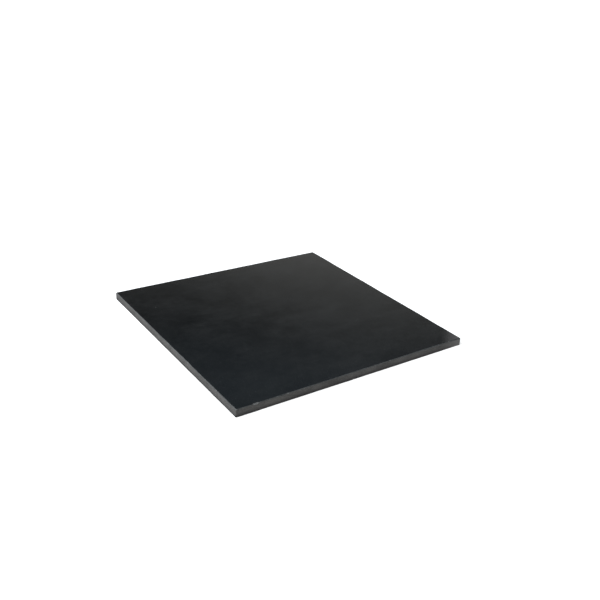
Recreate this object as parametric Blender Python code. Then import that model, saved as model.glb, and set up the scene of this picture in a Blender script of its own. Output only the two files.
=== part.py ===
"""Stone tooling slab: one square tile of black granite.

The slab is a leatherworker's striking and skiving surface. It is sawn to size, polished on
its upper face, and every edge is eased by hand so that it can't chip or cut the leather.
Metres, +Z up. The origin is the centre of the resting face, with the polished face up.
"""

import bmesh
import bpy

MM = 0.001

# Driving dimensions. Each one can be set by itself.
LENGTH = 304.8 * MM  # along X, a nominal twelve inch tile
WIDTH = 304.8 * MM  # along Y
THICKNESS = 9.525 * MM  # resting face to polished face, a nominal three eighths of an inch
CORNER_RADIUS = 1.2 * MM  # the four upright corners, seen from above
TOP_ARRIS = 0.8 * MM  # eased edge round the polished face
BOTTOM_ARRIS = 0.5 * MM  # eased edge round the sawn resting face

CORNER_SEGMENTS = 5
TOP_ARRIS_SEGMENTS = 3
BOTTOM_ARRIS_SEGMENTS = 2
ROUND_PROFILE = 0.5  # a bevel profile of one half is a circular arc
FLAT_TOLERANCE = 0.01 * MM  # how near to a height a corner must be to count as lying at it

SLAB_COLOUR = (0.016, 0.018, 0.020, 1.0)
SLAB_ROUGHNESS = 0.16
SHARP_ANGLE = 0.6  # radians; faces that meet at more than this stay crisp


def clear_scene():
    """Removes whatever objects the file holds."""
    for thing in list(bpy.data.objects):
        bpy.data.objects.remove(thing, do_unlink=True)


def granite_material():
    """Polished black granite: dark, slightly cool, glossy and not metallic."""
    material = bpy.data.materials.new("black_granite")
    material.use_nodes = True
    shader = material.node_tree.nodes["Principled BSDF"]
    shader.inputs["Base Color"].default_value = SLAB_COLOUR
    shader.inputs["Roughness"].default_value = SLAB_ROUGHNESS
    shader.inputs["Metallic"].default_value = 0.0
    return material


def add_block(bm):
    """A plain block of the slab's overall size that stands on z = 0."""
    bmesh.ops.create_cube(bm, size=1.0)
    for vertex in bm.verts:
        vertex.co.x *= LENGTH
        vertex.co.y *= WIDTH
        vertex.co.z = (vertex.co.z + 0.5) * THICKNESS


def upright_edges(bm):
    """The four corner edges that run from the resting face to the polished face."""
    return [e for e in bm.edges if abs(e.verts[0].co.z - e.verts[1].co.z) > THICKNESS / 2]


def rim_edges(bm, height):
    """The closed loop of edges round the flat face at this height."""
    flat = [f for f in bm.faces if all(abs(v.co.z - height) < FLAT_TOLERANCE for v in f.verts)]
    return [e for f in flat for e in f.edges]


def ease(bm, edges, size, segments):
    """Rounds edges over with a circular arc that starts `size` back on both faces."""
    bmesh.ops.bevel(
        bm,
        geom=edges,
        offset=size,
        offset_type="OFFSET",
        segments=segments,
        profile=ROUND_PROFILE,
        affect="EDGES",
        clamp_overlap=False,
    )


def make_granite_slab():
    """One solid piece of stone: block, rounded corners, then the two eased rims."""
    bm = bmesh.new()
    add_block(bm)
    ease(bm, upright_edges(bm), CORNER_RADIUS, CORNER_SEGMENTS)
    ease(bm, rim_edges(bm, THICKNESS), TOP_ARRIS, TOP_ARRIS_SEGMENTS)
    ease(bm, rim_edges(bm, 0.0), BOTTOM_ARRIS, BOTTOM_ARRIS_SEGMENTS)
    bmesh.ops.recalc_face_normals(bm, faces=bm.faces)

    mesh = bpy.data.meshes.new("granite_slab")
    bm.to_mesh(mesh)
    bm.free()
    mesh.shade_smooth()
    mesh.set_sharp_from_angle(angle=SHARP_ANGLE)
    mesh.materials.append(granite_material())
    slab = bpy.data.objects.new("granite_slab", mesh)
    bpy.context.scene.collection.objects.link(slab)
    return slab


def main():
    clear_scene()
    make_granite_slab()


main()
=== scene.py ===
import math
import bpy
import numpy as np
from mathutils import Matrix, Vector


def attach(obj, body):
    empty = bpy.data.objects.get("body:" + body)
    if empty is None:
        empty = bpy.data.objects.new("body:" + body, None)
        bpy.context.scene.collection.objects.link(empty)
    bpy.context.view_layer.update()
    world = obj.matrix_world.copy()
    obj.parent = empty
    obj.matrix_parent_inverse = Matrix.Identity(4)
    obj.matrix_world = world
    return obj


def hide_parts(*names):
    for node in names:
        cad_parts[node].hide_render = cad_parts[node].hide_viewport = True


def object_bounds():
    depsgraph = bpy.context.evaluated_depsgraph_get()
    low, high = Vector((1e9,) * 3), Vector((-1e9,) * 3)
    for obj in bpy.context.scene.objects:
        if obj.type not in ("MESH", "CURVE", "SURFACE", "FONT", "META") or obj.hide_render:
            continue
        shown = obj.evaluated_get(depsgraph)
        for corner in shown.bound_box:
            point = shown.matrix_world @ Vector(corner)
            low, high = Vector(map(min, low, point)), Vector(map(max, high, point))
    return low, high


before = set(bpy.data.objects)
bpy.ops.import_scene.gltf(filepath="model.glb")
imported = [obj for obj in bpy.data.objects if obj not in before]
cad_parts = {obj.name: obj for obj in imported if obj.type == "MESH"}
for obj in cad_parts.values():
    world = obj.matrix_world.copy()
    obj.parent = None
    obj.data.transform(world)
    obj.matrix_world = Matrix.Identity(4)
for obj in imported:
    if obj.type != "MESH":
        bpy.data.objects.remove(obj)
mm = 0.001
lowCorner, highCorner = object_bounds()
half = (highCorner - lowCorner).to_2d() / 2
topZ = highCorner.z
print("frame loaded, slab is", [round(v / mm, 1) for v in (2 * half.x, 2 * half.y, topZ)], "mm")


# small shorthands for building node trees

def addNode(tree, kind, **settings):
    made = tree.nodes.new(kind)
    for name, value in settings.items():
        setattr(made, name, value)
    return made


def feed(tree, socket, value):
    # a socket gets linked, anything else is set as the plain value
    if isinstance(value, bpy.types.NodeSocket):
        tree.links.new(value, socket)
    else:
        socket.default_value = value


def calc(tree, operation, a, b=0.0, clamp=False):
    made = addNode(tree, "ShaderNodeMath", operation=operation, use_clamp=clamp)
    feed(tree, made.inputs[0], a)
    feed(tree, made.inputs[1], b)
    return made.outputs[0]


def addUp(tree, start, *parts):
    # start plus each value times its share, held between 0 and 1
    total = start
    for value, share in parts:
        total = calc(tree, "ADD", total, calc(tree, "MULTIPLY", value, share), clamp=True)
    return total


def ramp(tree, value, low, high, outLow=0.0, outHigh=1.0):
    # a soft step from outLow to outHigh while the value goes from low to high
    made = addNode(tree, "ShaderNodeMapRange", interpolation_type="SMOOTHSTEP")
    settings = {"Value": value, "From Min": low, "From Max": high, "To Min": outLow, "To Max": outHigh}
    for name, given in settings.items():
        feed(tree, made.inputs[name], given)
    return made.outputs["Result"]


def blend(tree, share, first, second, kind="RGBA"):
    # share 0 gives the first, share 1 the second; kind FLOAT blends plain values
    made = addNode(tree, "ShaderNodeMix", data_type=kind)
    feed(tree, made.inputs["Factor"], share)
    feed(tree, made.inputs["A"], first)
    feed(tree, made.inputs["B"], second)
    return made.outputs["Result"]


def noise(tree, vector, size, detail=2.0, rough=0.5):
    # size is how wide one cloud is, in metres
    made = addNode(tree, "ShaderNodeTexNoise")
    feed(tree, made.inputs["Vector"], vector)
    scale = calc(tree, "DIVIDE", 1.0, size) if isinstance(size, bpy.types.NodeSocket) else 1 / size
    feed(tree, made.inputs["Scale"], scale)
    made.inputs["Detail"].default_value = detail
    made.inputs["Roughness"].default_value = rough
    return made.outputs["Fac"]


def splitAxes(tree, place):
    made = addNode(tree, "ShaderNodeSeparateXYZ")
    feed(tree, made.inputs[0], place)
    return made.outputs


def startGroup(name, inputs, outputs):
    # an input is a name, a kind and the value it starts with; an output is a name and a kind
    tree = bpy.data.node_groups.new(name, "ShaderNodeTree")
    for label, kind, value in inputs:
        socket = tree.interface.new_socket(label, in_out="INPUT", socket_type="NodeSocket" + kind)
        if value is not None:
            socket.default_value = value
    for label, kind in outputs:
        tree.interface.new_socket(label, in_out="OUTPUT", socket_type="NodeSocket" + kind)
    return tree, tree.nodes.new("NodeGroupInput").outputs, tree.nodes.new("NodeGroupOutput").inputs


def useGroup(tree, group, **values):
    made = addNode(tree, "ShaderNodeGroup", node_tree=group)
    for name, value in values.items():
        feed(tree, made.inputs[name], value)
    return made.outputs


# the grain of the stone: tiny interlocked crystals, a few pale flecks, soft clouds

grainShape = {
    "patchTimes": 4.4,  # broad patches are this much wider than the mottle inside them
    "mottleShare": 0.48,  # the rest comes from the patches
    "mottleDetail": 4.0,
    "mottleRough": 0.62,
    "cloud": (0.35, 0.65),  # the noise that gives a dark and a light cloud
    "rarest": 0.995,  # how high a crystal's own number has to be to make it a fleck
    "commoner": 0.03,  # how far that comes down where Flecks is 1
    "fleckSize": (0.15, 0.5),  # solid core and faded rim, as shares of a crystal
    "crystalShare": 0.38,  # the rest of the tone comes from the clouds
}


def makeStoneGrain():
    tree, given, out = startGroup(
        "stoneGrain",
        [("Vector", "Vector", None), ("Crystal", "Float", 0.7 * mm), ("Cloud", "Float", 22 * mm),
         ("Dark", "Color", (0, 0, 0, 1)), ("Light", "Color", (1, 1, 1, 1)),
         ("Fleck", "Color", (1, 1, 1, 1)), ("Flecks", "Float", 0.5)],
        [("Color", "Color"), ("Clouds", "Float"), ("Crystals", "Float")],
    )
    shape = grainShape
    where = given["Vector"]
    cells = addNode(tree, "ShaderNodeTexVoronoi", feature="F1")
    feed(tree, cells.inputs["Vector"], where)
    feed(tree, cells.inputs["Scale"], calc(tree, "DIVIDE", 1.0, given["Crystal"]))
    # every crystal has a colour of its own, and so three numbers between 0 and 1
    numbers = addNode(tree, "ShaderNodeSeparateColor")
    feed(tree, numbers.inputs[0], cells.outputs["Color"])
    crystals, luck = numbers.outputs[0], numbers.outputs[1]

    patches = noise(tree, where, calc(tree, "MULTIPLY", given["Cloud"], shape["patchTimes"]))
    mottle = noise(tree, where, given["Cloud"], shape["mottleDetail"], shape["mottleRough"])
    clouds = ramp(tree, blend(tree, shape["mottleShare"], patches, mottle, "FLOAT"), *shape["cloud"])

    # pale flecks are the few crystals with the highest number
    lowered = calc(tree, "MULTIPLY", given["Flecks"], shape["commoner"])
    bright = calc(tree, "GREATER_THAN", luck, calc(tree, "SUBTRACT", shape["rarest"], lowered))
    core = ramp(tree, cells.outputs["Distance"], *shape["fleckSize"], 1.0, 0.0)
    flecks = calc(tree, "MULTIPLY", bright, core)

    tone = blend(tree, shape["crystalShare"], clouds, crystals, "FLOAT")
    body = blend(tree, tone, given["Dark"], given["Light"])
    feed(tree, out["Color"], blend(tree, flecks, body, given["Fleck"]))
    feed(tree, out["Clouds"], clouds)
    feed(tree, out["Crystals"], crystals)
    return tree


# the arcs that a round saw blade leaves while it travels along a cut

sawShape = {
    "teeth": {"often": 1.0, "detail": 1.0},  # one mark for each pitch
    "drift": {"often": 0.16, "detail": 3.0},  # broad bands, as the blade wanders
    "driftShare": 0.4,
    "streak": (0.35, 0.65),  # the drift that gives a dark and a light streak
}


def makeSawMarks():
    tree, given, out = startGroup(
        "sawMarks",
        [("Run", "Float", 0.0), ("Rise", "Float", 0.0), ("Blade", "Float", 175 * mm),
         ("Pitch", "Float", 1.2 * mm)],
        [("Height", "Float"), ("Streaks", "Float")],
    )
    # a tooth at this height stands back from the blade's lowest point by this much
    across = calc(tree, "SUBTRACT", calc(tree, "MULTIPLY", given["Blade"], 2.0), given["Rise"])
    reach = calc(tree, "MULTIPLY", across, given["Rise"])
    back = calc(tree, "SQRT", calc(tree, "MAXIMUM", reach, 0.0))
    arc = calc(tree, "DIVIDE", calc(tree, "ADD", given["Run"], back), given["Pitch"])
    layers = {}
    for name in ("teeth", "drift"):
        made = addNode(tree, "ShaderNodeTexNoise", noise_dimensions="1D")
        feed(tree, made.inputs["W"], calc(tree, "MULTIPLY", arc, sawShape[name]["often"]))
        made.inputs["Scale"].default_value = 1.0
        made.inputs["Detail"].default_value = sawShape[name]["detail"]
        layers[name] = made.outputs["Fac"]
    height = blend(tree, sawShape["driftShare"], layers["teeth"], layers["drift"], "FLOAT")
    feed(tree, out["Height"], height)
    feed(tree, out["Streaks"], ramp(tree, layers["drift"], *sawShape["streak"]))
    return tree


# where the stone is rubbed or freshly broken, with a ragged border to each

wearShape = {
    "crumb": 0.9 * mm,
    "bite": 6 * mm,
    "biteShare": 0.4,  # the rest of the raggedness comes from the crumbs
    "rubbed": (0.25, 0.8),  # the painted value where rubbing starts and is full
    "broken": (0.2, 0.5),
}


def makeEdgeWear():
    tree, given, out = startGroup(
        "edgeWear",
        [("Vector", "Vector", None), ("Rub", "Float", 0.0), ("Break", "Float", 0.0),
         ("Ragged", "Float", 0.5)],
        [("Rubbed", "Float"), ("Broken", "Float"), ("Crumble", "Float")],
    )
    crumbs = noise(tree, given["Vector"], wearShape["crumb"], detail=3.0, rough=0.6)
    bites = noise(tree, given["Vector"], wearShape["bite"])
    uneven = blend(tree, wearShape["biteShare"], crumbs, bites, "FLOAT")
    ragged = calc(tree, "MULTIPLY", calc(tree, "SUBTRACT", uneven, 0.5), given["Ragged"])
    rub = calc(tree, "ADD", given["Rub"], ragged)
    crack = calc(tree, "ADD", given["Break"], ragged)
    feed(tree, out["Rubbed"], ramp(tree, rub, *wearShape["rubbed"]))
    feed(tree, out["Broken"], ramp(tree, crack, *wearShape["broken"]))
    feed(tree, out["Crumble"], crumbs)
    return tree


stoneGrain = makeStoneGrain()
sawMarks = makeSawMarks()
edgeWear = makeEdgeWear()
print("shader groups made")


# what the finishes of the stone have in common

def painted(tree, name):
    # rubbed, broken and dulled are painted on the points of the mesh further down
    return addNode(tree, "ShaderNodeAttribute", attribute_name=name).outputs["Fac"]


def startMaterial(name, look):
    material = bpy.data.materials.new(name)
    material.use_nodes = True
    tree = material.node_tree
    shader = tree.nodes["Principled BSDF"]
    shader.inputs["Roughness"].default_value = look["roughness"]
    shader.inputs["IOR"].default_value = look["ior"]
    shader.inputs["Specular IOR Level"].default_value = look["specular"]
    shader.inputs["Metallic"].default_value = 0.0
    place = addNode(tree, "ShaderNodeTexCoord").outputs["Object"]
    wear = useGroup(tree, edgeWear, Vector=place, Rub=painted(tree, "rubbed"),
                    Break=painted(tree, "broken"))
    grain = useGroup(tree, stoneGrain, Vector=place, Crystal=look["crystal"], Cloud=look["cloud"],
                     Dark=look["dark"], Light=look["light"], Fleck=look["fleck"], Flecks=look["flecks"])
    return material, tree, place, wear, grain


def finishMaterial(tree, colour, roughness, heights):
    # heights are pairs of a height from 0 to 1 and how deep that is, in metres
    shader = tree.nodes["Principled BSDF"]
    feed(tree, shader.inputs["Base Color"], colour)
    feed(tree, shader.inputs["Roughness"], roughness)
    normal = None
    for height, depth in heights:
        bump = addNode(tree, "ShaderNodeBump")
        bump.inputs["Strength"].default_value = 1.0
        bump.inputs["Distance"].default_value = depth
        feed(tree, bump.inputs["Height"], height)
        if normal is not None:
            feed(tree, bump.inputs["Normal"], normal)
        normal = bump.outputs["Normal"]
    feed(tree, shader.inputs["Normal"], normal)


def crumbled(tree, wear):
    # the crumbly relief of fresh breaks, flat elsewhere
    return calc(tree, "MULTIPLY", wear["Crumble"], wear["Broken"])


polish = {
    "dark": (0.0028, 0.0032, 0.0034, 1),
    "light": (0.0078, 0.0084, 0.0087, 1),
    "film": (0.0150, 0.0152, 0.0155, 1),  # dried wiping smears
    "fleck": (0.040, 0.043, 0.045, 1),
    "broken": (0.080, 0.081, 0.081, 1),
    "rubbed": (0.030, 0.032, 0.034, 1),
    "dulled": (0.056, 0.052, 0.051, 1),  # the one corner where the polish is worn away
    "crystal": 0.65 * mm,
    "cloud": 9.5 * mm,
    "flecks": 0.45,
    "roughness": 0.122,  # of the clean polish
    "haze": 0.046,  # what the clouds and the smears add to it together
    "rougher": {"hairlines": 0.12, "rubbed": 0.25, "dulled": 0.4, "broken": 0.5},
    "drawnOut": (1.2, 3.2, 1.0),  # smears and hairlines are longer along X than along Y
    "turned": 28,  # degrees that their noise is turned after that, which only picks other ones
    "smear": {"size": 60 * mm, "noise": (0.42, 0.72), "share": 0.2},
    "hairline": {"size": 85 * mm, "width": 0.0012, "keptSize": 50 * mm, "kept": (0.56, 0.64)},
    "rubbedShare": 0.5,
    "rollLength": 45 * mm,
    "roll": 0.03 * mm,  # the polishing heads leave a faint roll
    "crystalRelief": 0.0012 * mm,
    "hairDepth": 0.002 * mm,
    "crumble": 0.4 * mm,
    "ior": 1.56,
    "specular": 0.5,
}


def makePolish():
    material, tree, place, wear, grain = startMaterial("polishedTop", polish)
    stretch = addNode(tree, "ShaderNodeMapping")
    feed(tree, stretch.inputs["Vector"], place)
    stretch.inputs["Rotation"].default_value = (0, 0, math.radians(polish["turned"]))
    stretch.inputs["Scale"].default_value = polish["drawnOut"]
    drawnOut = stretch.outputs[0]

    smear = polish["smear"]
    smears = ramp(tree, noise(tree, drawnOut, smear["size"], detail=5.0, rough=0.62), *smear["noise"])
    dulled = painted(tree, "dulled")
    smeared = calc(tree, "MULTIPLY", smears, smear["share"])
    rubbed = calc(tree, "MULTIPLY", wear["Rubbed"], polish["rubbedShare"])
    colour = blend(tree, smeared, grain["Color"], polish["film"])
    colour = blend(tree, rubbed, colour, polish["rubbed"])
    colour = blend(tree, dulled, colour, polish["dulled"])
    colour = blend(tree, wear["Broken"], colour, polish["broken"])

    # hairlines: the thin middle line of a long drawn out noise, kept only here and there
    hairline = polish["hairline"]
    offMiddle = calc(tree, "SUBTRACT", noise(tree, drawnOut, hairline["size"], detail=1.0), 0.5)
    thin = ramp(tree, calc(tree, "ABSOLUTE", offMiddle), 0.0, hairline["width"], 1.0, 0.0)
    kept = ramp(tree, noise(tree, place, hairline["keptSize"], detail=1.0), *hairline["kept"])
    hairs = calc(tree, "MULTIPLY", thin, kept)

    haze = polish["haze"] / 2
    rougher = polish["rougher"]
    rough = addUp(tree, polish["roughness"], (grain["Clouds"], haze), (smears, haze),
                  (hairs, rougher["hairlines"]), (wear["Rubbed"], rougher["rubbed"]),
                  (dulled, rougher["dulled"]), (wear["Broken"], rougher["broken"]))
    finishMaterial(tree, colour, rough, [
        (noise(tree, place, polish["rollLength"]), polish["roll"]),
        (grain["Crystals"], polish["crystalRelief"]),
        (hairs, -polish["hairDepth"]),
        (crumbled(tree, wear), polish["crumble"]),
    ])
    return material


easedEdge = {
    "dark": (0.026, 0.027, 0.027, 1),
    "light": (0.055, 0.056, 0.056, 1),
    "fleck": (0.13, 0.13, 0.13, 1),
    "broken": (0.102, 0.102, 0.101, 1),
    "crystal": 0.6 * mm,
    "cloud": 8 * mm,
    "flecks": 0.8,
    "roughness": 0.36,
    "rougher": {"clouds": 0.12, "broken": 0.35},
    "poreRelief": 0.06 * mm,
    "crumble": 0.5 * mm,
    "ior": 1.52,
    "specular": 0.5,
}


def makeEasedEdge():
    material, tree, place, wear, grain = startMaterial("handEasedEdge", easedEdge)
    colour = blend(tree, wear["Broken"], grain["Color"], easedEdge["broken"])
    rougher = easedEdge["rougher"]
    rough = addUp(tree, easedEdge["roughness"], (grain["Clouds"], rougher["clouds"]),
                  (wear["Broken"], rougher["broken"]))
    finishMaterial(tree, colour, rough, [
        (wear["Crumble"], easedEdge["poreRelief"]),
        (crumbled(tree, wear), easedEdge["crumble"]),
    ])
    return material


sawnSide = {
    "dark": (0.0100, 0.0096, 0.0090, 1),
    "light": (0.0745, 0.0715, 0.0682, 1),
    "paleNearCorner": (0.108, 0.106, 0.103, 1),  # lighter towards the front right corner, following the dulled mask
    "paleNearCornerShare": 0.85,
    "fleck": (0.18, 0.18, 0.175, 1),
    "broken": (0.110, 0.110, 0.108, 1),
    "crystal": 0.7 * mm,
    "cloud": 11 * mm,
    "flecks": 1.0,
    "streakShare": 0.22,
    "footShade": (0.003, 0.003, 0.003, 1),  # painted shade low down on the sides, standing in for the contact shadow at the foot
    "footShadeLine": 1.9 * mm,  # height of the painted dark shadow line along the foot
    "footShadeFade": 5.8 * mm,  # and of the fainter painted shade above it
    "footShadeWander": 1.4 * mm,  # how far both go up and down
    "wanderSize": 4 * mm,
    "shadeFilmShare": 0.62,
    "roughness": 0.58,
    "rougher": {"clouds": 0.14, "rubbed": -0.12},
    "blade": 175 * mm,  # radius of the bridge saw's blade
    "below": 2.2 * mm,  # how far the blade ran under the slab
    "pitch": 1.1 * mm,
    "sawRelief": 0.07 * mm,
    "poreRelief": 0.08 * mm,
    "crumble": 0.5 * mm,
    "ior": 1.5,
    "specular": 0.22,  # open pores swallow most of the shine
}


def makeSawnSide():
    material, tree, place, wear, grain = startMaterial("sawnSide", sawnSide)
    axes = splitAxes(tree, place)
    # x + y runs along any of the four sides, because the other one stays the same there
    run = calc(tree, "ADD", axes["X"], axes["Y"])
    rise = calc(tree, "ADD", axes["Z"], sawnSide["below"])
    marks = useGroup(tree, sawMarks, Run=run, Rise=rise, Blade=sawnSide["blade"],
                     Pitch=sawnSide["pitch"])
    streaks = calc(tree, "MULTIPLY", marks["Streaks"], sawnSide["streakShare"])
    colour = blend(tree, streaks, grain["Color"], sawnSide["light"])

    # painted shade at the foot of the sides: a dark line and a fainter darkening above it, where the
    # slab meets the floor
    wander = calc(tree, "SUBTRACT", noise(tree, place, sawnSide["wanderSize"], detail=3.0), 0.5)
    level = calc(tree, "ADD", axes["Z"], calc(tree, "MULTIPLY", wander, sawnSide["footShadeWander"]))
    foot = sawnSide["footShadeLine"] / 2
    line = ramp(tree, level, foot, sawnSide["footShadeLine"], 1.0, 0.0)
    film = ramp(tree, level, foot, sawnSide["footShadeFade"], sawnSide["shadeFilmShare"], 0.0)
    colour = blend(tree, calc(tree, "MAXIMUM", line, film), colour, sawnSide["footShade"])
    paleNearCorner = calc(tree, "MULTIPLY", painted(tree, "dulled"), sawnSide["paleNearCornerShare"])
    colour = blend(tree, paleNearCorner, colour, sawnSide["paleNearCorner"])
    colour = blend(tree, wear["Broken"], colour, sawnSide["broken"])

    rougher = sawnSide["rougher"]
    rough = addUp(tree, sawnSide["roughness"], (grain["Clouds"], rougher["clouds"]),
                  (wear["Rubbed"], rougher["rubbed"]))
    finishMaterial(tree, colour, rough, [
        (marks["Height"], sawnSide["sawRelief"]),
        (wear["Crumble"], sawnSide["poreRelief"]),
        (crumbled(tree, wear), sawnSide["crumble"]),
    ])
    return material


sawnBack = {
    "dark": (0.036, 0.0355, 0.035, 1),
    "light": (0.092, 0.0905, 0.089, 1),
    "fleck": (0.20, 0.20, 0.195, 1),
    "broken": (0.135, 0.135, 0.132, 1),
    "crystal": 0.8 * mm,
    "cloud": 30 * mm,
    "flecks": 1.0,
    "streakShare": 0.35,
    "dust": (0.20, 0.193, 0.182, 1),  # grinding slurry that dried in the low places
    "dustPatch": 50 * mm,
    "dustFrom": (0.5, 0.75),  # the noise where dust starts and is full
    "dustShare": 0.4,
    "roughness": 0.76,
    "rougher": {"dust": 0.15},
    "blade": 550 * mm,  # radius of the block cutter's disc
    "beside": 90 * mm,  # how far outside the front side the disc's lowest point passed
    "pitch": 1.6 * mm,
    "sawRelief": 0.12 * mm,
    "poreRelief": 0.12 * mm,
    "ior": 1.5,
    "specular": 0.18,
}
discFoot = lowCorner.y - sawnBack["beside"]


def makeSawnBack():
    material, tree, place, wear, grain = startMaterial("sawnBack", sawnBack)
    axes = splitAxes(tree, place)
    rise = calc(tree, "SUBTRACT", axes["Y"], discFoot)
    marks = useGroup(tree, sawMarks, Run=axes["X"], Rise=rise, Blade=sawnBack["blade"],
                     Pitch=sawnBack["pitch"])
    streaks = calc(tree, "MULTIPLY", marks["Streaks"], sawnBack["streakShare"])
    colour = blend(tree, streaks, grain["Color"], sawnBack["light"])

    patches = noise(tree, place, sawnBack["dustPatch"], detail=5.0, rough=0.62)
    dusty = ramp(tree, patches, *sawnBack["dustFrom"])
    settled = calc(tree, "MULTIPLY", dusty, calc(tree, "SUBTRACT", 1.0, marks["Height"]))
    dust = calc(tree, "MULTIPLY", settled, sawnBack["dustShare"])
    colour = blend(tree, dust, colour, sawnBack["dust"])
    colour = blend(tree, wear["Broken"], colour, sawnBack["broken"])
    rough = addUp(tree, sawnBack["roughness"], (dusty, sawnBack["rougher"]["dust"]))
    finishMaterial(tree, colour, rough, [
        (marks["Height"], sawnBack["sawRelief"]),
        (wear["Crumble"], sawnBack["poreRelief"]),
    ])
    return material


finishes = [makePolish(), makeEasedEdge(), makeSawnSide(), makeSawnBack()]
topFinish, edgeFinish, sideFinish, backFinish = range(4)
print("four stone finishes made")


# the stone: rings of points round the slab, from the back, up the sides, to the top

stone = {
    "cornerRadius": 1.2 * mm,
    "cornerSteps": 6,
    "topArris": 0.8 * mm,
    "bottomArris": 0.5 * mm,
    "arrisWobble": 0.26,  # share by which the hand rubbed width comes and goes
    "topWave": 95 * mm,  # length of the longest wave in that
    "bottomWave": 60 * mm,
    "arrisRound": 0.55,  # 0 is a flat chamfer, 1 a full round
    "topArrisRows": (0.8, 0.6, 0.4, 0.2),  # shares of the way from the flat face to the side
    "bottomArrisRows": (0.0, 0.25, 0.5, 0.75),
    "topBorder": [0.15, 0.4, 0.75, 1.2, 1.9, 3.0, 5.0],  # mm inside the arris
    "backBorder": [5.0, 3.0, 1.9, 1.2, 0.7, 0.3],
    "sideRows": 15,
    "rowsToArris": 0.09,  # draws the side's rows towards both arrises
    "coarseStep": 1.7 * mm,  # along an edge
    "fineStep": 0.3 * mm,  # along an edge, at a chip
    "fineReach": 0.75,  # how far the fine steps go to each side of a chip, as a share of its length
    "fineSpare": 0.5 * mm,  # and this much more
    "topCell": 6 * mm,  # grids in the middle of the two big faces
    "backCell": 1.85 * mm,
    "gridGap": 2.6 * mm,  # from the last border ring to the grid
    "seed": 11,
}

# the blades bit unevenly as they went along; a higher keep leaves more of the stone standing, and
# spare is how far the row of bites goes on past the slab
sideBites = {"deepest": 0.05 * mm, "pitch": 7 * mm, "keep": 1.5, "spare": 100 * mm}
backBites = {"deepest": 0.11 * mm, "pitch": 6.5 * mm, "keep": 1.4, "uneven": 0.3, "goneAt": 0.6 * mm}

# how much the edges are rubbed, from 0 to 1; on the polished face it fades with the distance in
rubbing = {
    "bottomArris": 0.8,
    "sideTop": 0.6,
    "topArris": 1.0,
    "topRim": 0.9,
    "border": 0.6,
    "perMm": 1.1,
}

# the one clear chip: on the top edge of the front side, near the left corner
bigChip = {
    "side": 0,
    "fromCorner": 22.6 * mm,
    "length": 6.2 * mm,
    "inward": 1.2 * mm,
    "down": 1.0 * mm,
    "bites": ((0.0, 1.0), (-0.36, 0.62), (0.34, 0.5)),  # shift along the chip and size, as shares
}
smallChips = {
    "top": 44,  # how many along the top edge
    "bottom": 60,
    "longest": 2.1 * mm,
    "shortest": 0.5 * mm,
    "mostlyShort": 1.7,  # the higher, the fewer long ones
    "deep": (0.22, 0.5),  # depth as a share of the length
    "offCorner": 4 * mm,
}
chipShape = {
    "outside": 0.35,  # the middle of a chip's bowl is this share of its size outside the stone
    "onArris": 0.29,  # where it is centred on the eased edge, as a share of the edge's width
    "lumps": 0.07,  # the skin is lumpy, like any shell shaped break
    "proud": 1.02,  # the highest that a lump may stand
    "waves": (3, 9),  # how closely the lumps follow each other
    "border": 7,  # how fast the broken look fades in from the rim
}

# the front right corner is picked up and leaned on: its polish is dull and its arris is wider
wornCorner = {"corner": 1, "reach": 33 * mm, "fade": 1.3, "widen": 0.6, "widenReach": 45 * mm}

random = np.random.default_rng(stone["seed"])
sides = [  # start corner, direction along the side and the way out, going round against the clock
    (Vector((-1, -1)), Vector((1, 0)), Vector((0, -1))),
    (Vector((1, -1)), Vector((0, 1)), Vector((1, 0))),
    (Vector((1, 1)), Vector((-1, 0)), Vector((0, 1))),
    (Vector((-1, 1)), Vector((0, -1)), Vector((-1, 0))),
]


def sideLength(side):
    along = sides[side][1]
    return 2 * abs(along.x * half.x + along.y * half.y)


def placeChips():
    # each chip: level, side, distance from the side's start, length, inward, down
    chips = []
    for shift, share in bigChip["bites"]:
        at = bigChip["fromCorner"] + shift * bigChip["length"]
        chips.append(("top", bigChip["side"], at, bigChip["length"] * share,
                      bigChip["inward"] * share**0.5, bigChip["down"] * share**0.5))
    spread = smallChips["longest"] / smallChips["shortest"]
    clear = smallChips["offCorner"]
    for level in ("top", "bottom"):
        for _ in range(smallChips[level]):
            side = int(random.integers(4))
            length = smallChips["shortest"] * spread ** random.random() ** smallChips["mostlyShort"]
            inward, down = length * random.uniform(*smallChips["deep"], 2)
            at = random.uniform(clear, sideLength(side) - clear)
            chips.append((level, side, at, length, inward, down))
    return chips


def stepsAlong(side, straight, chips):
    # distances along one side, close together at a chip and wide apart elsewhere
    coarse, fine = stone["coarseStep"], stone["fineStep"]
    tick = 0.05 * mm
    ticks = np.arange(0.0, straight, tick)
    step = np.full(ticks.shape, coarse)
    for _, chipSide, at, length, _, _ in chips:
        if chipSide == side:
            reach = length * stone["fineReach"] + stone["fineSpare"]
            away = np.abs(ticks + stone["cornerRadius"] - at) / reach
            step = np.minimum(step, fine + (coarse - fine) * np.clip(away - 1, 0, 1))
    count = np.cumsum(tick / step)
    total = int(round(count[-1]))
    marks = np.interp(np.linspace(0, count[-1], total + 1), count, ticks)
    marks[0] = 0.0
    marks[-1] = straight
    return marks


def placeStations(chips):
    # each station: side, share of the straight run from 0 to 1, corner angle, distance run
    stations = []
    run = 0.0
    radius = stone["cornerRadius"]
    arc = radius * math.pi / 2
    for side in range(4):
        straight = sideLength(side) - 2 * radius
        for mark in stepsAlong(side, straight, chips):
            stations.append((side, mark / straight, 0.0, run + mark))
        for turn in range(1, stone["cornerSteps"]):
            share = turn / stone["cornerSteps"]
            stations.append((side, 1.0, share * math.pi / 2, run + straight + share * arc))
        run += straight + arc
    return stations, run


def dulledAt(x, y):
    # 1 at the tip of the worn corner, fading out along slanting lines
    corner = sides[wornCorner["corner"]][0]
    away = (half.x - corner.x * x) + (half.y - corner.y * y)
    return np.clip(1 - away / wornCorner["reach"], 0, 1) ** wornCorner["fade"]


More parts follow.
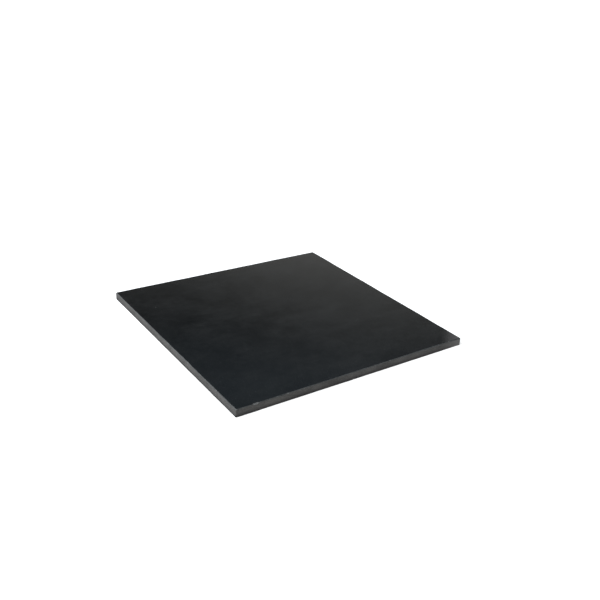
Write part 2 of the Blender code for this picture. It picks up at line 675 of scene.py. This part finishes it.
def handWobble(run, around, longest):
    # a smooth ripple that closes on itself after one trip round the slab
    shorter, weaker, strength = 1.9, 0.68, 1.6
    total = np.zeros_like(run)
    weights = [weaker**layer for layer in range(5)]
    for layer, weight in enumerate(weights):
        turns = round(around / longest * shorter**layer)
        total += weight * np.cos(2 * math.pi * (turns * run / around + random.random()))
    return total / sum(weights) * strength


def sawArc(along, rise, blade):
    # where the arc through this point meets the level of the blade's lowest point
    return along + np.sqrt(np.maximum(2 * blade * rise - rise**2, 0))


def ringPlaces(stations, inset):
    # every ring keeps the same corner radius, so that no corner pinches
    places = np.empty((len(stations), 2))
    radius = stone["cornerRadius"]
    for i, (side, share, turn, _) in enumerate(stations):
        corner, along, out = sides[side]
        reach = Vector((half.x - inset[i], half.y - inset[i]))
        start = Vector((corner.x * (reach.x - (radius if along.x else 0)),
                        corner.y * (reach.y - (radius if along.y else 0))))
        span = 2 * (abs(along.x * reach.x + along.y * reach.y) - radius)
        place = start + along * span * share
        if turn:
            place += along * radius * math.sin(turn) - out * radius * (1 - math.cos(turn))
        places[i] = place
    return places


def arrisCurve(share):
    # from the flat face (share 0) to the side (share 1): how much of the width is left, and the drop
    angle = share * math.pi / 2
    rounded = (1 - math.sin(angle), 1 - math.cos(angle))
    flat = (1 - share, share)
    mix = stone["arrisRound"]
    return [mix * r + (1 - mix) * f for r, f in zip(rounded, flat)]


def buildRings(stations, around, sideStart):
    run = np.array([s[3] for s in stations])
    spare = sideBites["spare"]
    knots = np.arange(-spare, around + 2 * spare, sideBites["pitch"])
    bites = random.random(len(knots)) ** sideBites["keep"]
    fromCorner = np.abs(run - sideStart[wornCorner["corner"]])
    widen = wornCorner["widen"] * np.exp(-fromCorner / wornCorner["widenReach"])
    topWobble = stone["arrisWobble"] * handWobble(run, around, stone["topWave"])
    topWidth = stone["topArris"] * (1 + widen + topWobble)
    lowWobble = stone["arrisWobble"] * handWobble(run, around, stone["bottomWave"])
    lowWidth = stone["bottomArris"] * (1 + lowWobble)
    rows, finish, rubbed = [], [], []

    def addRow(inset, height, kind, rub):
        rows.append(np.column_stack([ringPlaces(stations, inset), height]))
        finish.append(kind)
        rubbed.append(rub)

    flat = np.zeros(len(stations))
    for extra in stone["backBorder"]:
        addRow(lowWidth + extra * mm, flat, backFinish, 0.0)
    for share in stone["bottomArrisRows"]:
        left, drop = arrisCurve(share)
        addRow(lowWidth * left, lowWidth * drop, sideFinish, rubbing["bottomArris"])
    for row in range(stone["sideRows"]):
        share = row / (stone["sideRows"] - 1)
        share += stone["rowsToArris"] * math.sin(2 * math.pi * share)
        height = lowWidth + (topZ - topWidth - lowWidth) * share
        arc = sawArc(run, height + sawnSide["below"], sawnSide["blade"])
        fade = math.sin(math.pi * share) ** 0.5
        sunk = np.interp(arc, knots, bites) * sideBites["deepest"] * fade
        # the last side row starts the eased edge
        last = row == stone["sideRows"] - 1
        addRow(sunk, height, edgeFinish if last else sideFinish, rubbing["sideTop"] if last else 0.0)
    for share in stone["topArrisRows"]:
        left, drop = arrisCurve(share)
        addRow(topWidth * left, topZ - topWidth * drop, edgeFinish, rubbing["topArris"])
    addRow(topWidth, flat + topZ, topFinish, rubbing["topRim"])
    for extra in stone["topBorder"]:
        rub = max(0.0, rubbing["border"] - extra * rubbing["perMm"])
        addRow(topWidth + extra * mm, flat + topZ, topFinish, rub)
    return np.array(rows), finish, rubbed, topWidth, lowWidth


def carveChips(points, broken, chips, run, sideStart, topWidth, lowWidth):
    # a chip is a shallow bowl: points inside an egg beside the edge are pushed to its skin
    outside = chipShape["outside"]
    deep = math.sqrt(1 - outside**2) - outside  # what is left of the egg inside the stone
    wide = math.sqrt(1 - 2 * outside**2)
    for level, side, at, long, inward, down in chips:
        corner, along, out = sides[side]
        start = Vector((corner.x * half.x, corner.y * half.y))
        near = int(np.argmin(np.abs(run - (sideStart[side] + at - stone["cornerRadius"]))))
        width = (topWidth if level == "top" else lowWidth)[near] * chipShape["onArris"]
        up = 1 if level == "top" else -1
        axes = np.array([long / 2 / wide, inward / deep, down / deep])
        edge = start + along * at - out * width
        z = (topZ - width) if level == "top" else width
        middle = np.array([*(edge + out * outside * axes[1]), z + up * outside * axes[2]])
        turn = np.array([[*along, 0], [*out, 0], [0, 0, up]])
        local = (points - middle) @ turn.T / axes
        far = np.linalg.norm(local, axis=1)
        inside = np.flatnonzero(far < 1.0)
        if not len(inside):
            continue
        waves = random.uniform(*chipShape["waves"], 3)
        phase = random.random() * 6  # radians, up to nearly a full turn
        ripple = np.sin(local[inside] @ waves + phase)
        skin = np.minimum(1 + chipShape["lumps"] * ripple, chipShape["proud"])
        pushed = local[inside] / far[inside, None] * skin[:, None]
        points[inside] = middle + pushed * axes @ turn
        depth = np.clip((1 - far[inside]) * chipShape["border"], 0, 1)
        broken[inside] = np.maximum(broken[inside], depth)
    np.clip(points, np.array(lowCorner), np.array(highCorner), out=points)


def cutHollows(points):
    # the disc's arcs are real hollows in the back; they run out under the eased edge
    arc = sawArc(points[:, 0], points[:, 1] - discFoot, sawnBack["blade"])
    pitch = backBites["pitch"]
    knots = np.arange(arc.min() - pitch, arc.max() + 2 * pitch, pitch)
    bites = random.random(len(knots)) ** backBites["keep"]
    knots = knots + random.uniform(-1, 1, len(knots)) * backBites["uneven"] * pitch
    fade = np.clip(1 - points[:, 2] / backBites["goneAt"], 0, 1)
    points[:, 2] += np.interp(arc, knots, bites) * backBites["deepest"] * fade


# the flat map for baking: the two big faces side by side, and a strip above them for each side
bakeMap = {"margin": 0.01, "face": 0.48, "stripsFrom": 0.52, "stripPitch": 0.12, "stripHeight": 0.1}
longestStrip = max(sideLength(side) for side in range(4)) + stone["cornerRadius"]


def faceSpot(place, level):
    left = bakeMap["margin"] + (0.0 if level == "top" else 0.5)
    return (left + bakeMap["face"] * (place[0] + half.x) / (2 * half.x),
            bakeMap["margin"] + bakeMap["face"] * (place[1] + half.y) / (2 * half.y))


def stripSpot(across, distance, side):
    return (bakeMap["margin"] + (1 - 2 * bakeMap["margin"]) * distance / longestStrip,
            bakeMap["stripsFrom"] + bakeMap["stripPitch"] * side + bakeMap["stripHeight"] * across)


def joinRings(points, finish, stations, around, sideStart):
    # four cornered faces from each ring to the next one; a face is corners, finish and map spots
    faces = []
    count = len(stations)
    run = [s[3] for s in stations] + [around]
    upright = [row for row, kind in enumerate(finish) if kind in (sideFinish, edgeFinish)]
    first, last = upright[0], upright[-1] + 1
    for row in range(len(finish) - 1):
        low, high = [(r - first) / (last - first) for r in (row, row + 1)]
        for i in range(count):
            after = (i + 1) % count
            corners = (row * count + i, row * count + after,
                       (row + 1) * count + after, (row + 1) * count + i)
            if first <= row < last:
                side = stations[i][0]
                here, there = [distance - sideStart[side] for distance in run[i:i + 2]]
                spots = [stripSpot(low, here, side), stripSpot(low, there, side),
                         stripSpot(high, there, side), stripSpot(high, here, side)]
            else:
                spots = [faceSpot(points[v], "back" if row < first else "top") for v in corners]
            faces.append((corners, finish[row], spots))
    return faces


def zipRings(outer, inner, points):
    # triangles between two closed rings with different numbers of points, by their bearing
    def byBearing(ring):
        bearing = np.arctan2(points[ring, 1], points[ring, 0])
        first = int(np.argmin(bearing))
        ring = np.roll(ring, -first)
        bearing = np.roll(bearing, -first)
        return np.append(ring, ring[0]), np.append(bearing, bearing[0] + 2 * math.pi)

    outer, outerAt = byBearing(outer)
    inner, innerAt = byBearing(inner)
    i = j = 0
    triangles = []
    while i < len(outer) - 1 or j < len(inner) - 1:
        stepOut = j == len(inner) - 1 or (i < len(outer) - 1 and outerAt[i + 1] <= innerAt[j + 1])
        if stepOut:
            triangles.append((outer[i], outer[i + 1], inner[j]))
            i += 1
        else:
            triangles.append((outer[i], inner[j + 1], inner[j]))
            j += 1
    return triangles


def fillMiddle(level, points, ring):
    # a regular grid inside the last border ring, and triangles from that ring to it
    top = level == "top"
    cell = stone["topCell"] if top else stone["backCell"]
    margin = max(stone["topBorder"]) * mm + stone["gridGap"]
    lines = []
    for reach in (half.x - margin, half.y - margin):
        lines.append(np.linspace(-reach, reach, max(2, round(2 * reach / cell)) + 1))
    gridX, gridY = np.meshgrid(*lines, indexing="ij")
    height = np.full(gridX.size, topZ if top else 0.0)
    number = len(points) + np.arange(gridX.size).reshape(gridX.shape)
    points = np.vstack([points, np.column_stack([gridX.ravel(), gridY.ravel(), height])])
    border = np.concatenate([number[:-1, 0], number[-1, :-1], number[:0:-1, -1], number[0, :0:-1]])
    made = zipRings(ring, border, points)
    for i in range(len(lines[0]) - 1):
        for j in range(len(lines[1]) - 1):
            made.append((number[i, j], number[i + 1, j], number[i + 1, j + 1], number[i, j + 1]))
    faces = []
    for corners in made:
        corners = tuple(int(v) for v in (corners if top else corners[::-1]))
        spots = [faceSpot(points[v], level) for v in corners]
        faces.append((corners, topFinish if top else backFinish, spots))
    return points, faces


def makeStoneObject(points, faces, paints):
    mesh = bpy.data.meshes.new("graniteStone")
    mesh.from_pydata(points.tolist(), [], [corners for corners, _, _ in faces])
    mesh.polygons.foreach_set("material_index", [kind for _, kind, _ in faces])
    layer = mesh.uv_layers.new(name="OFBake")
    spots = [spot for _, _, each in faces for spot in each]
    layer.uv.foreach_set("vector", np.array(spots, np.float32).ravel())
    for name, values in paints.items():
        mesh.attributes.new(name, "FLOAT", "POINT").data.foreach_set("value", values.astype(np.float32))
    for material in finishes:
        mesh.materials.append(material)
    mesh.shade_smooth()
    mesh.update()
    mesh.validate()
    made = bpy.data.objects.new("graniteStone", mesh)
    bpy.context.scene.collection.objects.link(made)
    mesh.calc_loop_triangles()
    print("stone has", len(mesh.loop_triangles), "triangles")
    return made


def buildStone():
    chips = placeChips()
    stations, around = placeStations(chips)
    count = len(stations)
    sideStart = [next(s[3] for s in stations if s[0] == side) for side in range(4)]
    print("edges have", len(chips), "chips and", count, "points round the slab")
    rings, finish, rubbedRows, topWidth, lowWidth = buildRings(stations, around, sideStart)
    points = rings.reshape(-1, 3)
    broken = np.zeros(len(points))
    run = np.array([s[3] for s in stations])
    carveChips(points, broken, chips, run, sideStart, topWidth, lowWidth)
    faces = joinRings(points, finish, stations, around, sideStart)
    backRing = np.arange(count)
    topRing = backRing + (len(finish) - 1) * count
    for level, ring in (("top", topRing), ("back", backRing)):
        points, more = fillMiddle(level, points, ring)
        faces += more
    cutHollows(points)
    unmarked = np.zeros(len(points) - len(broken))
    paints = {
        "broken": np.append(broken, unmarked),
        "rubbed": np.append(np.repeat(rubbedRows, count), unmarked),
        "dulled": dulledAt(points[:, 0], points[:, 1]),
    }
    return makeStoneObject(points, faces, paints)


graniteStone = buildStone()
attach(graniteStone, "root")
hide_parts("granite_slab")


# a pale floor under plain soft light

studio = {
    "floorSize": 60.0,
    "floorDrop": 0.02 * mm,  # keeps the floor just clear of the slab's back
    "floorColour": (0.5, 0.5, 0.5, 1),
    "floorRoughness": 0.9,
    "floorGlow": 0.75,  # a light table, so that shadows stay faint
    "key": {  # a big soft light on the left
        "from": (-96, 44),  # bearing and height in degrees
        "strength": 5.4,
        "spread": 40,
        "colour": (0.93, 0.965, 1.0),
    },
    "horizon": 1.02,  # how bright the room is low down, all round
    "walls": (1.0, 0.995, 0.955, 1),
    "dim": 0.0,  # how bright the walls are above that pale band
    "band": (0.02, 0.493),  # where the band starts to fade and where it ends, as sines of the height
    "ceiling": (0.123, 0.157, 0.188, 1),  # a faint cool light overhead
    "overhead": (0.436, 0.556),  # where that starts and where it is full
    "glow": {"from": (139.2, 13.6), "strength": 0.175, "spread": 10.8, "edge": 2.7},  # behind the slab
}


def makeFloor():
    size = studio["floorSize"]
    depth = lowCorner.z - studio["floorDrop"]
    corners = [(x * size / 2, y * size / 2, depth) for x, y in ((-1, -1), (1, -1), (1, 1), (-1, 1))]
    mesh = bpy.data.meshes.new("floor")
    mesh.from_pydata(corners, [], [(0, 1, 2, 3)])
    material = bpy.data.materials.new("paleFloor")
    material.use_nodes = True
    shader = material.node_tree.nodes["Principled BSDF"]
    shader.inputs["Base Color"].default_value = studio["floorColour"]
    shader.inputs["Roughness"].default_value = studio["floorRoughness"]
    shader.inputs["Specular IOR Level"].default_value = 0.0
    shader.inputs["Emission Color"].default_value = (1, 1, 1, 1)
    shader.inputs["Emission Strength"].default_value = studio["floorGlow"]
    mesh.materials.append(material)
    made = bpy.data.objects.new("floor", mesh)
    bpy.context.scene.collection.objects.link(made)


def towards(bearing, height):
    # degrees; bearing 0 is in front of the slab, on the -Y side, and -90 is on its left
    bearing, height = math.radians(bearing), math.radians(height)
    return Vector((math.sin(bearing) * math.cos(height), -math.cos(bearing) * math.cos(height),
                   math.sin(height)))


def makeKeyLight():
    key = studio["key"]
    lamp = bpy.data.lights.new("keyLight", "SUN")
    lamp.energy = key["strength"]
    lamp.color = key["colour"]
    lamp.angle = math.radians(key["spread"])
    made = bpy.data.objects.new("keyLight", lamp)
    made.rotation_euler = towards(*key["from"]).to_track_quat("Z", "Y").to_euler()
    bpy.context.scene.collection.objects.link(made)


def glowStrength(tree, way):
    # fades with the angle from its middle: a bell curve at edge 1, a soft box above that
    glow = studio["glow"]
    aside = addNode(tree, "ShaderNodeVectorMath", operation="DOT_PRODUCT")
    feed(tree, aside.inputs[0], way)
    aside.inputs[1].default_value = towards(*glow["from"])
    angle = calc(tree, "ARCCOSINE", calc(tree, "MINIMUM", aside.outputs["Value"], 1.0))
    share = calc(tree, "DIVIDE", angle, math.radians(glow["spread"]) * math.sqrt(2))
    fade = calc(tree, "POWER", share, 2 * glow["edge"])
    bell = calc(tree, "EXPONENT", calc(tree, "MULTIPLY", fade, -1.0))
    return calc(tree, "MULTIPLY", bell, glow["strength"])


def makeRoom():
    world = bpy.data.worlds.new("softRoom")
    bpy.context.scene.world = world
    world.use_nodes = True
    tree = world.node_tree
    way = addNode(tree, "ShaderNodeTexCoord").outputs["Generated"]
    upward = splitAxes(tree, way)["Z"]
    band = ramp(tree, upward, *studio["band"], studio["horizon"], studio["dim"])
    walls = tree.nodes["Background"]
    walls.inputs["Color"].default_value = studio["walls"]
    feed(tree, walls.inputs["Strength"], calc(tree, "ADD", band, glowStrength(tree, way)))

    ceiling = addNode(tree, "ShaderNodeBackground")
    ceiling.inputs["Color"].default_value = studio["ceiling"]
    feed(tree, ceiling.inputs["Strength"], ramp(tree, upward, *studio["overhead"]))
    both = addNode(tree, "ShaderNodeAddShader")
    feed(tree, both.inputs[0], walls.outputs[0])
    feed(tree, both.inputs[1], ceiling.outputs[0])

    # seen past the floor's far edge the room is plain white, like the sweep of a backdrop
    backdrop = addNode(tree, "ShaderNodeBackground")
    backdrop.inputs["Strength"].default_value = studio["horizon"]
    backdrop.inputs["Color"].default_value = (1, 1, 1, 1)
    seen = addNode(tree, "ShaderNodeMixShader")
    feed(tree, seen.inputs[0], addNode(tree, "ShaderNodeLightPath").outputs["Is Camera Ray"])
    feed(tree, seen.inputs[1], both.outputs[0])
    feed(tree, seen.inputs[2], backdrop.outputs[0])
    feed(tree, tree.nodes["World Output"].inputs["Surface"], seen.outputs[0])


makeFloor()
makeKeyLight()
makeRoom()
bpy.context.scene.view_settings.view_transform = "Standard"
print("studio made")


# the camera stands at the front left and looks down on the slab

lens = {
    "focal": 45.17,  # mm
    "sensor": 36.0,
    "aim": (42.11 * mm, 23.66 * mm),  # the point of the polished face in the middle of the view
    "bearing": -35.58,  # degrees, like the height and the roll
    "height": 25.30,
    "away": 0.9591,  # metres
    "roll": 3.27,
}


def makeCamera():
    back = towards(lens["bearing"], lens["height"])
    camera = bpy.data.cameras.new("camera")
    camera.lens = lens["focal"]
    camera.sensor_width = lens["sensor"]
    camera.clip_start = 0.01
    camera.clip_end = 100.0
    made = bpy.data.objects.new("camera", camera)
    made.location = Vector((*lens["aim"], topZ)) + back * lens["away"]
    upright = (-back).to_track_quat("-Z", "Y").to_matrix()
    made.rotation_euler = (upright @ Matrix.Rotation(math.radians(lens["roll"]), 3, "Z")).to_euler()
    bpy.context.scene.collection.objects.link(made)
    bpy.context.scene.camera = made


makeCamera()
print("camera placed")
